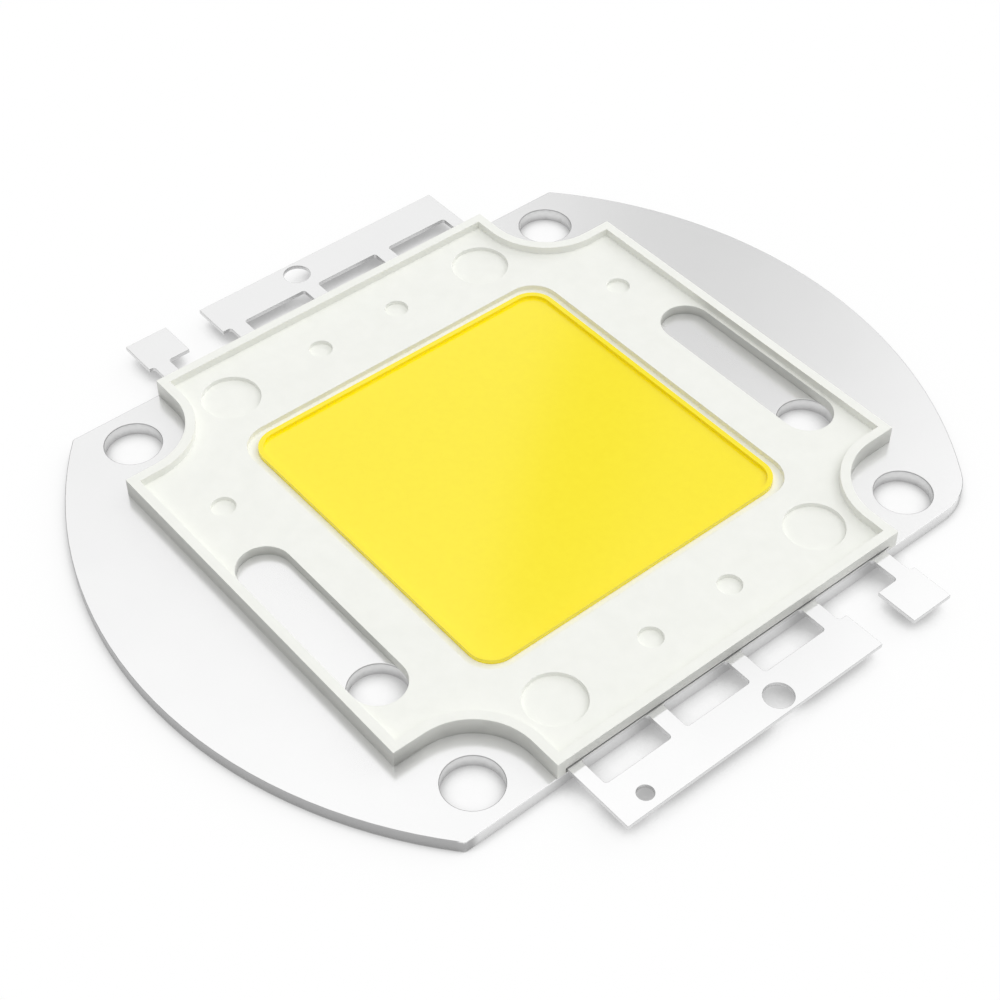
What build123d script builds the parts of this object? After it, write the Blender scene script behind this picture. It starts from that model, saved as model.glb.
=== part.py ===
from build123d import *
import os
import time

# High-power LED module. Millimetres, Z up, origin at the centre of the base plate's underside.
# The leads leave along X and the plate's two arcs bulge along Y.

# Moulded frame
FRAME_SIDE = 40.0
FRAME_BODY_HEIGHT = 0.70  # from the plate up to the sunk field
RIM_HEIGHT = 0.57
RIM_WIDTH = 0.65
NOTCH_SIZE = 6.40
NOTCH_RADIUS = 4.28
WINDOW_RADIUS = 2.0
LEDGE_WIDTH = 0.58  # open step between the window's wall and the filling
LEDGE_SKIN = 0.18  # plastic over the leads' thin shelf
SLOT_WIDTH = 3.55
SLOT_TRAVEL = 11.2  # between the centres of a slot's two round ends
SLOT_INSET = 2.66  # from the frame's edge to the slot's middle
LARGE_DIMPLE_DIAMETER = 3.9
LARGE_DIMPLE_DEPTH = 0.30
LARGE_DIMPLE_SHIFT = -0.18  # from the middle of the wall between window and edge
LARGE_DIMPLE_Y = 10.43
SMALL_DIMPLE_DIAMETER = 1.58
SMALL_DIMPLE_DEPTH = 0.30
SMALL_DIMPLE_SHIFT = -0.09
SMALL_DIMPLE_Y = 3.18
END_DIMPLE_X = -8.33
END_DIMPLE_SHIFT = 0.05
SLIT_HEIGHT = 0.10  # relief above each lead where it leaves the frame
SLIT_DEPTH = 0.45
SLIT_END_GAP = 0.08

# Base plate
PLATE_THICKNESS = 0.95
PLATE_LENGTH = 55.5
SHOULDER_MARGIN = 0.111  # how far the plate's sharp corners stand out past the frame
PLATE_CORNER_RADIUS = 0.3
KEY_CORNER_RADIUS = 4.0  # the one blunt corner, beside the positive lead's small tab
HOLE_DIAMETER = 3.7
CORNER_HOLE_SIDE_INSET = 2.8  # from the plate's flat
CORNER_HOLE_END_INSET = 2.67  # from the frame's end
SIDE_HOLE_X = 8.68

# Insulating film under each lead
FILM_THICKNESS = 0.05
FILM_INNER_MARGIN = 0.20
FILM_SIDE_MARGIN = 0.25

# Stamped leads, drawn on the +X side
LEAD_THICKNESS = 0.30
LEAD_WIDTH = 25.80
RAIL_PROUD = 0.05  # the rail stands this far out of the frame
FINGERS = 5
FINGER_LENGTH = 2.05
FINGER_WIDTH = 1.15
FIRST_FINGER_INSET = 0.39  # from the large tab's end to the first finger's middle
LAST_FINGER_INSET = 0.95  # from the small tab's end to the last finger's middle
LEAD_WINDOW_RADIUS = 0.22
TAB_DEPTH = 2.88
LARGE_TAB_LENGTH = 19.92
SMALL_TAB_LENGTH = 3.15
TAB_HOLE_DIAMETER = 1.87
TAB_HOLE_INSET = 1.17  # from the tab's outer edge
TAB_HOLE_Y = -0.31
POLARITY_HOLE_DIAMETER = 1.05
POLARITY_HOLE_INSET = 1.06
POLARITY_HOLE_END_INSET = 2.24  # from the large tab's end
ANCHOR_HOLE_DIAMETER = 1.5
ANCHOR_HOLE_INSET = 1.37  # from the end of the thin shelf
SHELF_THICKNESS = 0.10  # the coined inner end, where the wires land
SHELF_IN_PAD = 1.3  # how far the shelf runs in under the filling
SHELF_UNDERLAP = 0.35  # how far the shelf runs in under the frame

# Phosphor filling
PAD_SIDE = 24.0
PAD_RADIUS = 1.7
PAD_HEIGHT = 0.66
PAD_RIM_WIDTH = 0.34
PAD_POCKET_DEPTH = 0.22

# Light-emitting dies and their bond wires
STRINGS = 10
DIES_PER_STRING = 10
STRING_INSET = 2.1  # from the filling's side to the first string
DIE_GAP = 0.50  # from a string's last die to the film
DIE_LENGTH = 1.10
DIE_WIDTH = 0.80
DIE_THICKNESS = 0.15
WIRE_THICKNESS = 0.03
WIRE_FOOT = 0.06
WIRE_RISE = 0.16  # loop height above the die's top
WIRE_LEAN = 0.20
BOND_INSET = 0.20  # from the die's end to the wire's foot
SHELF_BOND_INSET = 0.45

# Levels
plate_top = PLATE_THICKNESS
field_z = plate_top + FRAME_BODY_HEIGHT
rim_top = field_z + RIM_HEIGHT
film_top = plate_top + FILM_THICKNESS
lead_top = film_top + LEAD_THICKNESS
shelf_top = film_top + SHELF_THICKNESS
ledge_z = shelf_top + LEDGE_SKIN
die_top = plate_top + DIE_THICKNESS
pad_top = plate_top + PAD_HEIGHT

# The window goes round the filling, and slots, dimples and holes keep their places beside edges
frame_edge = FRAME_SIDE / 2
WINDOW_SIDE = PAD_SIDE + 2 * LEDGE_WIDTH
SLOT_Y = frame_edge - SLOT_INSET
wall_middle = (WINDOW_SIDE / 2 + frame_edge) / 2
LARGE_DIMPLE_X = wall_middle + LARGE_DIMPLE_SHIFT
SMALL_DIMPLE_X = wall_middle + SMALL_DIMPLE_SHIFT
END_DIMPLE_Y = wall_middle + END_DIMPLE_SHIFT
CORNER_HOLE_X = frame_edge - CORNER_HOLE_SIDE_INSET
CORNER_HOLE_Y = frame_edge - CORNER_HOLE_END_INSET

# The plate is as wide as the frame, and its arcs spring from its corners
PLATE_ACROSS_FLATS = FRAME_SIDE
shoulder_x = PLATE_ACROSS_FLATS / 2
shoulder_y = frame_edge + SHOULDER_MARGIN
bulge = PLATE_LENGTH / 2 - shoulder_y
PLATE_ARC_RADIUS = (shoulder_x**2 + bulge**2) / (2 * bulge)

# The leads run from under the filling out past the frame
rail_x = frame_edge + RAIL_PROUD
finger_end_x = rail_x + FINGER_LENGTH
LEAD_REACH = finger_end_x + TAB_DEPTH
lead_end_y = LEAD_WIDTH / 2
FINGER_PITCH = (LEAD_WIDTH - FIRST_FINGER_INSET - LAST_FINGER_INSET) / (FINGERS - 1)
first_finger_y = -lead_end_y + FIRST_FINGER_INSET
TAB_HOLE_X = LEAD_REACH - TAB_HOLE_INSET
POLARITY_HOLE_X = LEAD_REACH - POLARITY_HOLE_INSET
POLARITY_HOLE_Y = -lead_end_y + POLARITY_HOLE_END_INSET
SHELF_INNER_X = PAD_SIDE / 2 - SHELF_IN_PAD
shelf_end_x = WINDOW_SIDE / 2 + SHELF_UNDERLAP
ANCHOR_HOLE_X = shelf_end_x + ANCHOR_HOLE_INSET

# The dies share the space between the films and between the filling's sides
film_inner_x = SHELF_INNER_X - FILM_INNER_MARGIN
last_die_x = film_inner_x - DIE_GAP - DIE_LENGTH / 2
DIE_PITCH = 2 * last_die_x / (DIES_PER_STRING - 1)
STRING_PITCH = (PAD_SIDE - 2 * STRING_INSET) / (STRINGS - 1)
SPARE = 1.0  # extra length on a cutting body


def slab(sketch, bottom, top):
    """A flat sketch as a solid between two levels."""
    return extrude(Pos(0, 0, bottom) * sketch, amount=top - bottom)


def block(x0, x1, y0, y1, bottom, top):
    """A box given by its limits."""
    middle = Pos((x0 + x1) / 2, (y0 + y1) / 2, (bottom + top) / 2)
    return middle * Box(x1 - x0, y1 - y0, top - bottom)


def at(points, sketch):
    """The same sketch at each of the points."""
    return Sketch() + [Pos(x, y) * sketch for x, y in points]


def four(x, y):
    return [(sx * x, sy * y) for sx in (-1, 1) for sy in (-1, 1)]


def turned(solid):
    """The same piece on the opposite side of the module."""
    return Rot(0, 0, 180) * solid


def plate_outline():
    """Two flats and two arcs, with one corner rounded more than the others."""
    low_right, high_right = (shoulder_x, -shoulder_y), (shoulder_x, shoulder_y)
    high_left, low_left = (-shoulder_x, shoulder_y), (-shoulder_x, -shoulder_y)
    outline = make_face([
        Line(low_right, high_right),
        RadiusArc(high_right, high_left, -PLATE_ARC_RADIUS),
        Line(high_left, low_left),
        RadiusArc(low_left, low_right, -PLATE_ARC_RADIUS),
    ])
    corners = outline.vertices().sort_by(lambda v: v.X + v.Y)
    outline = fillet(corners[:-1], PLATE_CORNER_RADIUS)
    key = outline.vertices().sort_by(lambda v: v.X + v.Y)[-1]
    return fillet(key, KEY_CORNER_RADIUS)


def make_base_plate():
    places = four(CORNER_HOLE_X, CORNER_HOLE_Y) + [(SIDE_HOLE_X, SLOT_Y), (SIDE_HOLE_X, -SLOT_Y)]
    return slab(plate_outline() - at(places, Circle(HOLE_DIAMETER / 2)), 0, plate_top)


def frame_outline(inset):
    """The frame's square with a rounded notch at each corner, set in by a wall."""
    side = FRAME_SIDE - 2 * inset
    notch = NOTCH_SIZE + inset
    radius = NOTCH_RADIUS + inset
    reach = notch - radius
    corner = frame_edge - notch + radius
    outline = Rectangle(side, side)
    for sx in (-1, 1):
        for sy in (-1, 1):
            cut = Pos(corner, corner) * Circle(radius)
            cut += Pos(corner + reach, corner) * Rectangle(2 * reach, 2 * radius)
            cut += Pos(corner, corner + reach) * Rectangle(2 * radius, 2 * reach)
            cut += Pos(corner + reach, corner + reach) * Rectangle(2 * reach, 2 * reach)
            outline -= scale(cut, by=(sx, sy, 1))
    return outline


def make_frame(leads, films):
    frame = slab(frame_outline(0), plate_top, rim_top)
    frame -= slab(frame_outline(RIM_WIDTH), field_z, rim_top + SPARE)
    window = RectangleRounded(WINDOW_SIDE, WINDOW_SIDE, WINDOW_RADIUS)
    frame -= slab(window, ledge_z, field_z + SPARE)
    frame -= slab(RectangleRounded(PAD_SIDE, PAD_SIDE, PAD_RADIUS), plate_top - SPARE, ledge_z)
    slot = SlotCenterToCenter(SLOT_TRAVEL, SLOT_WIDTH)
    slot_x = SIDE_HOLE_X - SLOT_TRAVEL / 2
    frame -= slab(at([(slot_x, SLOT_Y), (slot_x, -SLOT_Y)], slot), plate_top - SPARE, field_z + SPARE)
    large = at(four(LARGE_DIMPLE_X, LARGE_DIMPLE_Y), Circle(LARGE_DIMPLE_DIAMETER / 2))
    frame -= slab(large, field_z - LARGE_DIMPLE_DEPTH, field_z + SPARE)
    small_places = four(SMALL_DIMPLE_X, SMALL_DIMPLE_Y)
    small_places += [(END_DIMPLE_X, END_DIMPLE_Y), (END_DIMPLE_X, -END_DIMPLE_Y)]
    small = at(small_places, Circle(SMALL_DIMPLE_DIAMETER / 2))
    frame -= slab(small, field_z - SMALL_DIMPLE_DEPTH, field_z + SPARE)
    slit = block(
        frame_edge - SLIT_DEPTH, frame_edge + SPARE,
        -lead_end_y - SLIT_END_GAP, lead_end_y,
        lead_top, lead_top + SLIT_HEIGHT,
    )
    slit += block(
        frame_edge - SLIT_DEPTH, frame_edge + SPARE,
        -lead_end_y - SLIT_END_GAP, -lead_end_y,
        film_top, lead_top + SLIT_HEIGHT,
    )
    frame -= [slit, turned(slit)]
    return frame - (leads + films)


def make_film():
    half_width = lead_end_y + FILM_SIDE_MARGIN
    return block(film_inner_x, frame_edge, -half_width, half_width, plate_top, film_top)


def make_lead(polarity_hole):
    outline = Pos((SHELF_INNER_X + LEAD_REACH) / 2, 0) * Rectangle(LEAD_REACH - SHELF_INNER_X, LEAD_WIDTH)
    # Windows between the fingers, the last one open at the small tab's end
    window_length = FINGER_PITCH - FINGER_WIDTH
    window = RectangleRounded(FINGER_LENGTH, window_length, LEAD_WINDOW_RADIUS)
    window_x = rail_x + FINGER_LENGTH / 2
    window_ys = [first_finger_y + (k + 0.5) * FINGER_PITCH for k in range(FINGERS)]
    outline -= at([(window_x, y) for y in window_ys], window)
    # The break between the large tab and the small one
    break_start = -lead_end_y + LARGE_TAB_LENGTH
    break_end = lead_end_y - SMALL_TAB_LENGTH
    middle_x = (rail_x + finger_end_x) / 2
    gap = Rectangle(LEAD_REACH - middle_x + SPARE, break_end - break_start)
    outline -= Pos((middle_x + LEAD_REACH + SPARE) / 2, (break_start + break_end) / 2) * gap
    outline -= Pos(TAB_HOLE_X, TAB_HOLE_Y) * Circle(TAB_HOLE_DIAMETER / 2)
    if polarity_hole:
        outline -= Pos(POLARITY_HOLE_X, POLARITY_HOLE_Y) * Circle(POLARITY_HOLE_DIAMETER / 2)
    anchors = [(ANCHOR_HOLE_X, y) for y in window_ys[:-1]]
    outline -= at(anchors, Circle(ANCHOR_HOLE_DIAMETER / 2))
    lead = slab(outline, film_top, lead_top)
    return lead - block(
        SHELF_INNER_X - SPARE, shelf_end_x,
        -lead_end_y - SPARE, lead_end_y + SPARE,
        shelf_top, lead_top + SPARE,
    )


def bond_wire(x0, z0, x1, z1, y):
    """One looped wire from a foot at x0 to a foot at x1, of a plain square section."""
    crest = die_top + WIRE_RISE
    under = crest - WIRE_THICKNESS
    points = [
        (x0, z0), (x0 + WIRE_LEAN, crest), (x1 - WIRE_LEAN, crest), (x1, z1),
        (x1 - WIRE_FOOT, z1), (x1 - WIRE_LEAN - WIRE_THICKNESS / 2, under),
        (x0 + WIRE_LEAN + WIRE_THICKNESS / 2, under), (x0 + WIRE_FOOT, z0),
    ]
    side = Plane.XZ * make_face(Polyline(*points, close=True))
    return extrude(Pos(0, y + WIRE_THICKNESS / 2, 0) * side, amount=WIRE_THICKNESS)


def string_y(index):
    return (index - (STRINGS - 1) / 2) * STRING_PITCH


def die_xs():
    return [i * DIE_PITCH - last_die_x for i in range(DIES_PER_STRING)]


def make_dies(y):
    half_length, half_width = DIE_LENGTH / 2, DIE_WIDTH / 2
    return [
        block(x - half_length, x + half_length, y - half_width, y + half_width, plate_top, die_top)
        for x in die_xs()
    ]


def make_wires(y):
    bond = DIE_LENGTH / 2 - BOND_INSET
    xs = die_xs()
    shelf_x = SHELF_INNER_X + SHELF_BOND_INSET
    wires = [bond_wire(-shelf_x, shelf_top, xs[0] - bond, die_top, y)]
    for left, right in zip(xs, xs[1:]):
        wires.append(bond_wire(left + bond, die_top, right - bond, die_top, y))
    wires.append(bond_wire(xs[-1] + bond, die_top, shelf_x, shelf_top, y))
    return wires


def make_phosphor(inside):
    pad = slab(RectangleRounded(PAD_SIDE, PAD_SIDE, PAD_RADIUS), plate_top, pad_top)
    pocket_side = PAD_SIDE - 2 * PAD_RIM_WIDTH
    pocket = RectangleRounded(pocket_side, pocket_side, PAD_RADIUS - PAD_RIM_WIDTH)
    pad -= slab(pocket, pad_top - PAD_POCKET_DEPTH, pad_top + SPARE)
    return pad - inside


def main():
    started = time.time()
    os.makedirs("parts", exist_ok=True)
    film = make_film()
    films = [film, turned(film)]
    positive_lead = make_lead(polarity_hole=True)
    negative_lead = turned(make_lead(polarity_hole=False))
    leads = [positive_lead, negative_lead]
    nodes = {
        "base_plate": make_base_plate(),
        "frame": make_frame(leads, films),
        "insulating_films": Compound(children=films),
        "positive_lead": positive_lead,
        "negative_lead": negative_lead,
    }
    inside = leads + films
    for index in range(STRINGS):
        dies = make_dies(string_y(index))
        wires = make_wires(string_y(index))
        inside += dies + wires
        nodes[f"die_string_{index + 1:02d}"] = Compound(children=dies)
        nodes[f"wire_string_{index + 1:02d}"] = Compound(children=wires)
    nodes["phosphor_fill"] = make_phosphor(inside)
    for name, shape in nodes.items():
        export_step(shape, f"parts/{name}.step")
        print(name, len(shape.solids()), round(shape.volume, 4))
    print("built in", round(time.time() - started, 1), "s")


main()
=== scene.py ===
import math

import bpy
from mathutils import Matrix, Vector

# High-power LED module on a white floor. Metres, Z up, the same frame as the solids.
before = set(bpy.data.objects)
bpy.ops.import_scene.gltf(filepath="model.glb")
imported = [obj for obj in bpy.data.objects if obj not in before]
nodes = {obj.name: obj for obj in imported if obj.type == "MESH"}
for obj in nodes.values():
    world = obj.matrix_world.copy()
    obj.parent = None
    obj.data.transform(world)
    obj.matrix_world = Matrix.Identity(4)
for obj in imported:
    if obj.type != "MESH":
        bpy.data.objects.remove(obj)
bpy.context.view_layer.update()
scene = bpy.context.scene

MM = 0.001

# Clean-up of the CAD meshes and rounding of their edges
WELD_DISTANCE = 0.0005 * MM
FLAT_ANGLE = math.radians(0.5)
PLATE_EDGE = 0.07 * MM
FRAME_EDGE = 0.06 * MM
LEAD_EDGE = 0.03 * MM
PHOSPHOR_EDGE = 0.05 * MM
EDGE_SEGMENTS = 3
SHARP_ANGLE = math.radians(28)

# Noise patterns: scale, in cycles to the metre, and detail
METAL_CLOUD = (260, 3)
METAL_SPECKS = (6000, 2)
PLASTIC_MOTTLE = (900, 3)
PLASTIC_PORES = (9000, 2)
FLOOR_FIBRES = (400, 3)
NOISE_RANGE = (0.3, 0.7)  # where most of a noise's values lie

# White plastic
PLASTIC = (0.858, 0.867, 0.822)
PLASTIC_BRIGHT = (0.882, 0.890, 0.846)
PLASTIC_ROUGH = (0.42, 0.55)
PLASTIC_GLOSS = 0.3
PLASTIC_BUMP = 0.004 * MM
PLASTIC_BUMP_STRENGTH = 0.5

# Metal
METAL_SHARE = 0.80  # the rest scatters like satin plating
PLATE_ROUGH = 0.22
LEAD_ROUGH = 0.12
CUT_ROUGH = 0.30
METAL_GRAIN = 0.01
CUT_TO_EDGE = (0.05, 0.45)  # how flat a surface lies, from a cut wall to the rounding over its edge
EDGE_TO_FACE = (0.90, 0.995)  # and from there to the sheet's face
PLATED = (0.974, 0.974, 0.974)
PLATED_BRIGHT = (0.988, 0.988, 0.988)
# The rounding over the plate's edges is darkened to a painted dark line.
PLATE_EDGE_SHADE = (0.50, 0.50, 0.50)
PLATE_CUT = (0.80, 0.80, 0.80)  # the drilled holes and the milled flats
PLATE_ARC_SHADE = (0.42, 0.42, 0.42)  # the two arcs' walls, darkened as painted shade
LIT_FLAT_EDGE = (19.6 * MM, 19.8 * MM)  # just inside the +X flat, whose edge is painted bright instead of getting the painted dark line
ARC_AXIS = 2.2 * MM  # how far an arc's axis lies beyond the middle
ARC_BAND = (29.2 * MM, 29.7 * MM)  # from that axis, just inside the arc
# The rounding over the leads' edges is darkened to a painted dark line.
LEAD_EDGE_SHADE = (0.66, 0.66, 0.66)
LEAD_CUT = (0.74, 0.74, 0.74)

# Floor
FLOOR_SIDE = 3.0
FLOOR_WHITE = (0.968, 0.968, 0.968)
FLOOR_WHITE_LIGHT = (0.974, 0.974, 0.974)
GLOW_SHARE = 0.85  # of what is seen of the floor, which glows white with a painted contact shadow; the rest is lit paper
# The painted contact shadow: how far the occlusion test looks, its rays, and how openness turns into
# brightness.
CONTACT_REACH = 2.0 * MM
CONTACT_SAMPLES = 8
CONTACT_OPEN = (0.36, 0.73)
CONTACT_LEVEL = (0.42, 1.0)

# Compass angles run from +Y towards +X. They and the heights are in degrees.
SKY_LIGHT = 0.455
LAMP_SPREAD = 45
LAMPS = {  # compass angle, height and strength
    "top": (0, 90, 0.255),
    "back": (0, 30, 0.30),
    "right": (60, 55, 0.165),
    "left": (300, 30, 0.05),
    "front": (190, 20, 0.04),
}

# The backdrop that the camera and polished surfaces see is white. High up it has a pale wall on the
# left and a leaning grey gap beside it, which pales towards its other end, and a grey band runs round
# it low down.
PALE_WALL = 0.845
GREY_GAP = 0.45
GREY_SIDE = 0.61
WALL_TO_GAP = (-49.9, -47.1)
GAP_TO_SIDE = (-46, -42.5)
SIDE_TO_WHITE = (-41, -31.5)
WHITE_TO_WALL = (60, 160)
GAP_LEAN = 0.5  # radians of compass over the sine of the height
LEAN_FROM = 0.68
WALL_FOOT = (22, 32)
WALL_TOP = (44.5, 52.5)
GAP_TOP = (49.5, 52)
LOW_BAND = 0.32
LOW_BAND_FOOT = (9, 15)
LOW_BAND_TOP = (26, 34)

# Camera: where the photograph was taken from
CAMERA_PLACE = Vector((68.563, -57.825, 91.840)) * MM
CAMERA_COMPASS = 129.592
CAMERA_HEIGHT = 46.302
CAMERA_ROLL = math.radians(-0.101)
CAMERA_RANGE = (MM, 10.0)
FOCAL_PIXELS = 2019.81
PHOTO_PIXELS = 1000
SENSOR_WIDTH = 36.0


def connect(tree, node, inputs):
    """Sets each input, found by name or place, to a number, or links it to another node's output."""
    for name, value in inputs.items():
        if isinstance(value, bpy.types.NodeSocket):
            tree.links.new(value, node.inputs[name])
        else:
            node.inputs[name].default_value = value


def add_node(tree, kind, inputs=None, **settings):
    node = tree.nodes.new(kind)
    for name, value in settings.items():
        setattr(node, name, value)
    connect(tree, node, inputs or {})
    return node


def object_coordinates(tree):
    """The surface's place in the part's own frame, so a pattern keeps its real size."""
    return add_node(tree, "ShaderNodeTexCoord").outputs["Object"]


def separate(tree, vector):
    return add_node(tree, "ShaderNodeSeparateXYZ", {"Vector": vector}).outputs


def calculate(tree, operation, first, second=0):
    return add_node(tree, "ShaderNodeMath", {0: first, 1: second}, operation=operation).outputs["Value"]


def noise(tree, vector, pattern):
    scale, detail = pattern
    inputs = {"Vector": vector, "Scale": scale, "Detail": detail}
    return add_node(tree, "ShaderNodeTexNoise", inputs).outputs["Fac"]


def map_range(tree, value, limits, levels, curve):
    inputs = dict(zip(("From Min", "From Max", "To Min", "To Max"), (*limits, *levels)), Value=value)
    return add_node(tree, "ShaderNodeMapRange", inputs, interpolation_type=curve).outputs["Result"]


def spread(tree, value, levels):
    """A noise value stretched to a range."""
    return map_range(tree, value, NOISE_RANGE, levels, "LINEAR")


def smooth_step(tree, value, limits, levels):
    """A soft change from one level to another between two limits of a value."""
    return map_range(tree, value, limits, levels, "SMOOTHSTEP")


def blend_colours(tree, factor, first, second):
    """A mix of two colours, each given as three numbers or as another node's output."""
    node = add_node(tree, "ShaderNodeMix", {"Factor": factor}, data_type="RGBA")
    sockets = [socket for socket in node.inputs if socket.type == "RGBA"]
    for socket, colour in zip(sockets, (first, second)):
        if isinstance(colour, tuple):
            socket.default_value = (*colour, 1)
        else:
            tree.links.new(colour, socket)
    return [socket for socket in node.outputs if socket.type == "RGBA"][0]


def make_material(name, build):
    material = bpy.data.materials.new(name)
    material.use_nodes = True
    build(material.node_tree, material.node_tree.nodes["Principled BSDF"])
    return material


def speckled(pattern, colours, rough, gloss=0.5, metallic=0.0):
    """A surface whose colour and roughness wander between two values with one fine noise."""
    def build(tree, shader):
        specks = noise(tree, object_coordinates(tree), pattern)
        connect(tree, shader, {
            "Base Color": blend_colours(tree, spread(tree, specks, (0, 1)), *colours),
            "Roughness": spread(tree, specks, rough),
            "Specular IOR Level": gloss,
            "Metallic": metallic,
        })
    return build


def white_plastic(tree, shader):
    vector = object_coordinates(tree)
    mottle = noise(tree, vector, PLASTIC_MOTTLE)
    pores = noise(tree, vector, PLASTIC_PORES)
    relief = {"Height": pores, "Distance": PLASTIC_BUMP, "Strength": PLASTIC_BUMP_STRENGTH}
    connect(tree, shader, {
        "Base Color": blend_colours(tree, spread(tree, mottle, (0, 1)), PLASTIC, PLASTIC_BRIGHT),
        "Roughness": spread(tree, pores, PLASTIC_ROUGH),
        "Specular IOR Level": PLASTIC_GLOSS,
        "Normal": add_node(tree, "ShaderNodeBump", relief).outputs["Normal"],
    })


def arc_shade_mask(tree, place):
    """One on the two curved sides, whose walls get painted shade, and zero inside them."""
    along = calculate(tree, "ADD", calculate(tree, "ABSOLUTE", place["Y"]), ARC_AXIS)
    squares = [calculate(tree, "MULTIPLY", value, value) for value in (place["X"], along)]
    distance = calculate(tree, "SQRT", calculate(tree, "ADD", *squares))
    return smooth_step(tree, distance, ARC_BAND, (0, 1))


def metal(rough, edge, cut, arc_shade_colour=None):
    """Satin plated sheet, duller and rougher on its cut walls and rougher on the rounding over their
    edges, whose colour is darkened there to a painted dark line.

    With an arc shade colour it is the plate, which has that colour on its arcs' walls as painted shade,
    and a painted bright edge on its +X flat, where the painted dark line is left out."""
    def build(tree, shader):
        vector = object_coordinates(tree)
        cloud = spread(tree, noise(tree, vector, METAL_CLOUD), (0, 1))
        plated = blend_colours(tree, cloud, PLATED, PLATED_BRIGHT)
        normal = separate(tree, add_node(tree, "ShaderNodeTexCoord").outputs["Normal"])
        flatness = calculate(tree, "ABSOLUTE", normal["Z"])
        wall, line = cut, edge
        if arc_shade_colour:
            place = separate(tree, vector)
            # Painted shade: the arcs' walls take the darker arc colour.
            wall = blend_colours(tree, arc_shade_mask(tree, place), cut, arc_shade_colour)
            # Painted highlight: on the +X flat the edge keeps the bright plated colour.
            lit_flat_share = smooth_step(tree, place["X"], LIT_FLAT_EDGE, (0, 1))
            line = blend_colours(tree, lit_flat_share, edge, PLATED)
        # Painted dark line: the rounding over the edges takes the edge colour.
        side = blend_colours(tree, smooth_step(tree, flatness, CUT_TO_EDGE, (0, 1)), wall, line)
        face = smooth_step(tree, flatness, EDGE_TO_FACE, (0, 1))
        grain = spread(tree, noise(tree, vector, METAL_SPECKS), (-METAL_GRAIN, METAL_GRAIN))
        level = smooth_step(tree, flatness, EDGE_TO_FACE, (CUT_ROUGH, rough))
        connect(tree, shader, {
            "Metallic": METAL_SHARE,
            "Base Color": blend_colours(tree, face, side, plated),
            "Roughness": calculate(tree, "ADD", grain, level),
        })
    return build


def dress(piece, material):
    piece.data.materials.clear()
    piece.data.materials.append(material)


def rounded(piece, width, narrow=False):
    """Gives a solid fine rounded edges, narrowed where its faces are small when narrow is set, and
    smooth curved walls.
    """
    weld = piece.modifiers.new("weld", "WELD")
    weld.merge_threshold = WELD_DISTANCE
    flat = piece.modifiers.new("flat", "DECIMATE")
    flat.decimate_type = "DISSOLVE"
    flat.angle_limit = FLAT_ANGLE
    edge = piece.modifiers.new("edge", "BEVEL")
    edge.width = width
    edge.segments = EDGE_SEGMENTS
    edge.use_clamp_overlap = narrow
    edge.limit_method = "ANGLE"
    edge.angle_limit = SHARP_ANGLE
    edge.harden_normals = True


lead_metal = make_material("lead_metal", metal(LEAD_ROUGH, LEAD_EDGE_SHADE, LEAD_CUT))
materials = {  # by the start of the node's name
    "base_plate": make_material(
        "nickel_plate", metal(PLATE_ROUGH, PLATE_EDGE_SHADE, PLATE_CUT, PLATE_ARC_SHADE)),
    "frame": make_material("white_plastic", white_plastic),
    "positive_lead": lead_metal,
    "negative_lead": lead_metal,
    "phosphor_fill": make_material("phosphor", speckled(
        pattern=(2500, 4),
        colours=((0.98, 0.812, 0.001), (0.995, 0.832, 0.002)),
        rough=(0.07, 0.10),
        gloss=1.0,
    )),
    "insulating_films": make_material("insulating_film", speckled(
        pattern=(1500, 3),
        colours=((0.82, 0.82, 0.80), (0.85, 0.85, 0.83)),
        rough=(0.45, 0.55),
    )),
    "die_string": make_material("die_crystal", speckled(
        pattern=(3000, 3),
        colours=((0.22, 0.25, 0.34), (0.26, 0.29, 0.38)),
        rough=(0.12, 0.20),
    )),
    "wire_string": make_material("bond_gold", speckled(
        pattern=(5000, 3),
        colours=((0.92, 0.68, 0.30), (0.95, 0.72, 0.34)),
        rough=(0.18, 0.26),
        metallic=1.0,
    )),
}
for node_name, piece in nodes.items():
    for start, material in materials.items():
        if node_name.startswith(start):
            dress(piece, material)

rounded(nodes["base_plate"], PLATE_EDGE)
rounded(nodes["frame"], FRAME_EDGE, narrow=True)
rounded(nodes["positive_lead"], LEAD_EDGE)
rounded(nodes["negative_lead"], LEAD_EDGE)
rounded(nodes["phosphor_fill"], PHOSPHOR_EDGE, narrow=True)


def seen_rays(tree):
    """One for what is seen, straight, in a reflection or through glass, and zero for plain light."""
    path = add_node(tree, "ShaderNodeLightPath").outputs
    seen = calculate(tree, "MAXIMUM", path["Is Camera Ray"], path["Is Glossy Ray"])
    return calculate(tree, "MAXIMUM", seen, path["Is Transmission Ray"])


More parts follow.
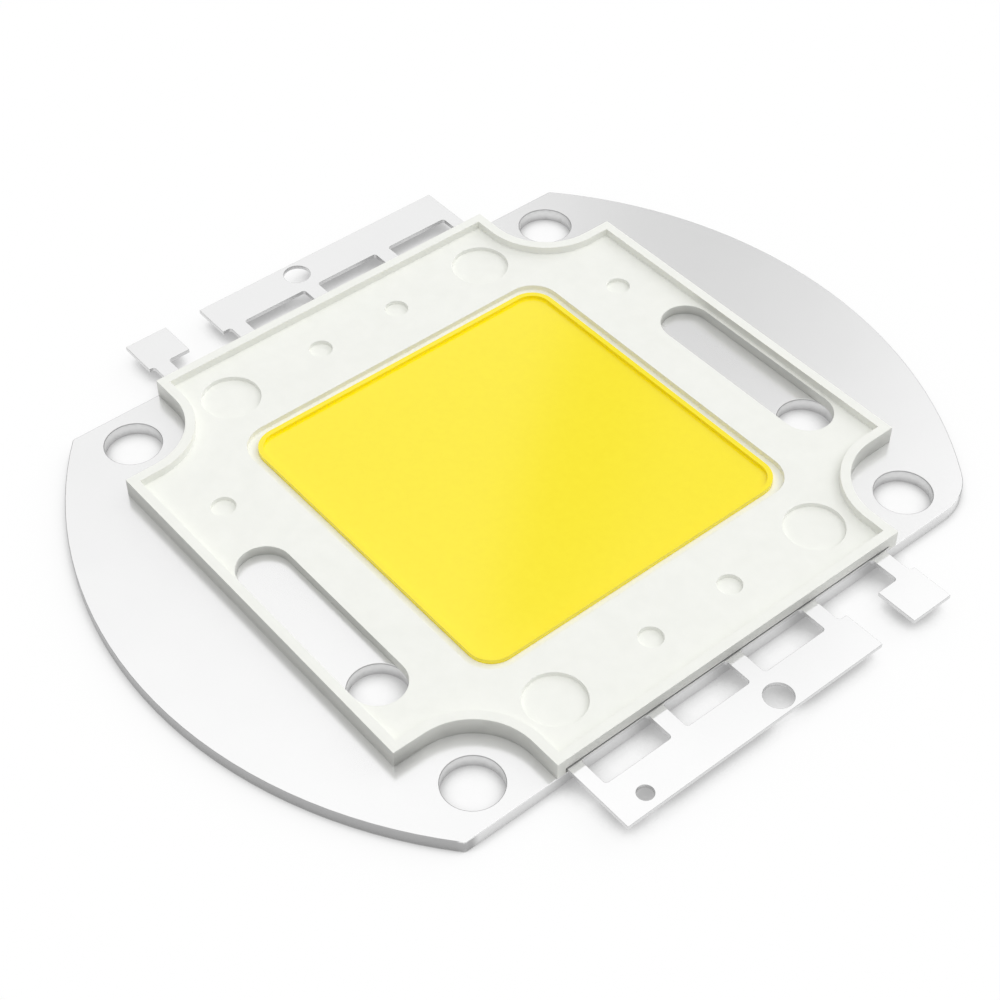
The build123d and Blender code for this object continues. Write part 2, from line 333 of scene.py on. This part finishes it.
def floor_paper(tree, shader):
    """White paper, lit evenly enough to stay white, which for what is seen mostly glows white with a
    painted contact shadow from an occlusion test; the lit rest keeps the object's cast shadow.
    """
    fibres = spread(tree, noise(tree, object_coordinates(tree), FLOOR_FIBRES), (0, 1))
    connect(tree, shader, {
        "Base Color": blend_colours(tree, fibres, FLOOR_WHITE, FLOOR_WHITE_LIGHT),
        "Roughness": 1.0,
        "Specular IOR Level": 0.0,
    })
    # Painted contact shadow: an occlusion test darkens the floor's glow near the object.
    contact = add_node(
        tree, "ShaderNodeAmbientOcclusion", {"Distance": CONTACT_REACH}, samples=CONTACT_SAMPLES)
    openness = smooth_step(tree, contact.outputs["AO"], CONTACT_OPEN, CONTACT_LEVEL)
    even = add_node(tree, "ShaderNodeEmission", {"Color": openness, "Strength": 1.0})
    mix = add_node(tree, "ShaderNodeMixShader", {
        "Fac": calculate(tree, "MULTIPLY", seen_rays(tree), GLOW_SHARE),
        1: shader.outputs["BSDF"],
        2: even.outputs["Emission"],
    })
    connect(tree, tree.nodes["Material Output"], {"Surface": mix.outputs["Shader"]})


half = FLOOR_SIDE / 2
corners = [(-half, -half, 0), (half, -half, 0), (half, half, 0), (-half, half, 0)]
mesh = bpy.data.meshes.new("floor")
mesh.from_pydata(corners, [], [(0, 1, 2, 3)])
mesh.materials.append(make_material("floor_paper", floor_paper))
floor = bpy.data.objects.new("floor", mesh)
scene.collection.objects.link(floor)


def in_radians(limits):
    return [math.radians(limit) for limit in limits]


def steps_along(tree, value, start, steps):
    """A level that changes by a given amount across each pair of limits, in degrees."""
    level = start
    for limits, amount in steps:
        step = smooth_step(tree, value, in_radians(limits), (0, amount))
        level = calculate(tree, "ADD", level, step)
    return level


def by_height(tree, height, limits, levels):
    """A soft change between two heights in degrees, where the height comes as its sine."""
    return smooth_step(tree, height, [math.sin(angle) for angle in in_radians(limits)], levels)


def backdrop_level(tree):
    """White, less the shade of the pale wall and of the gap, with the low band under both."""
    toward = separate(tree, add_node(tree, "ShaderNodeTexCoord").outputs["Generated"])
    height = toward["Z"]
    compass = calculate(tree, "ARCTAN2", toward["X"], toward["Y"])
    lean = calculate(tree, "MULTIPLY", calculate(tree, "SUBTRACT", height, LEAN_FROM), GAP_LEAN)
    leaning = calculate(tree, "ADD", compass, lean)
    wall_shade = 1 - PALE_WALL
    wall = steps_along(tree, compass, wall_shade, [
        (SIDE_TO_WHITE, -wall_shade),
        (WHITE_TO_WALL, wall_shade),
    ])
    gap = steps_along(tree, leaning, 0, [
        (WALL_TO_GAP, PALE_WALL - GREY_GAP),
        (GAP_TO_SIDE, GREY_GAP - GREY_SIDE),
        (SIDE_TO_WHITE, GREY_SIDE - PALE_WALL),
    ])
    wall = calculate(tree, "MULTIPLY", wall, by_height(tree, height, WALL_TOP, (1, 0)))
    gap = calculate(tree, "MULTIPLY", gap, by_height(tree, height, GAP_TOP, (1, 0)))
    foot = by_height(tree, height, WALL_FOOT, (0, 1))
    shade = calculate(tree, "MULTIPLY", calculate(tree, "ADD", wall, gap), foot)
    band = calculate(
        tree, "MULTIPLY",
        by_height(tree, height, LOW_BAND_FOOT, (0, 1 - LOW_BAND)),
        by_height(tree, height, LOW_BAND_TOP, (1, 0)),
    )
    return calculate(
        tree, "MULTIPLY", calculate(tree, "SUBTRACT", 1, shade), calculate(tree, "SUBTRACT", 1, band))


def make_sky(tree):
    """The backdrop for what is seen, straight or in a reflection, and plain soft light for the rest."""
    light = tree.nodes["Background"]
    connect(tree, light, {"Color": (1, 1, 1, 1), "Strength": SKY_LIGHT})
    backdrop = add_node(tree, "ShaderNodeBackground", {"Color": backdrop_level(tree)})
    mix = add_node(tree, "ShaderNodeMixShader", {
        "Fac": seen_rays(tree),
        1: light.outputs["Background"],
        2: backdrop.outputs["Background"],
    })
    connect(tree, tree.nodes["World Output"], {"Surface": mix.outputs["Shader"]})


world = bpy.data.worlds.new("studio")
world.use_nodes = True
make_sky(world.node_tree)
world.cycles.sampling_method = "NONE"  # its light is even, so it needs no map of where it is strong
scene.world = world


def direction(compass, height):
    """A unit vector from a compass angle and a height, both in degrees."""
    around, up = in_radians((compass, height))
    return Vector((math.sin(around) * math.cos(up), math.cos(around) * math.cos(up), math.sin(up)))


def soft_lamp(name, compass, height, strength):
    """A wide soft light that polished surfaces don't mirror."""
    data = bpy.data.lights.new(name, "SUN")
    data.energy = strength * math.pi
    data.angle = math.radians(LAMP_SPREAD)
    lamp = bpy.data.objects.new(name, data)
    lamp.rotation_euler = direction(compass, height).to_track_quat("Z", "Y").to_euler()
    lamp.visible_glossy = False
    scene.collection.objects.link(lamp)


for lamp_name, lamp_values in LAMPS.items():
    soft_lamp(lamp_name, *lamp_values)

toward_camera = direction(CAMERA_COMPASS, CAMERA_HEIGHT)
level = Vector((0, 0, 1)).cross(toward_camera).normalized()
upward = toward_camera.cross(level)
right = math.cos(CAMERA_ROLL) * level + math.sin(CAMERA_ROLL) * upward
above = -math.sin(CAMERA_ROLL) * level + math.cos(CAMERA_ROLL) * upward
turn = Matrix((right, above, toward_camera)).transposed().to_4x4()
camera_data = bpy.data.cameras.new("camera")
camera_data.sensor_width = SENSOR_WIDTH
camera_data.lens = FOCAL_PIXELS * SENSOR_WIDTH / PHOTO_PIXELS
camera_data.clip_start, camera_data.clip_end = CAMERA_RANGE
camera = bpy.data.objects.new("camera", camera_data)
camera.matrix_world = Matrix.Translation(CAMERA_PLACE) @ turn
scene.collection.objects.link(camera)
scene.camera = camera

scene.view_settings.view_transform = "Standard"
scene.cycles.caustics_reflective = False
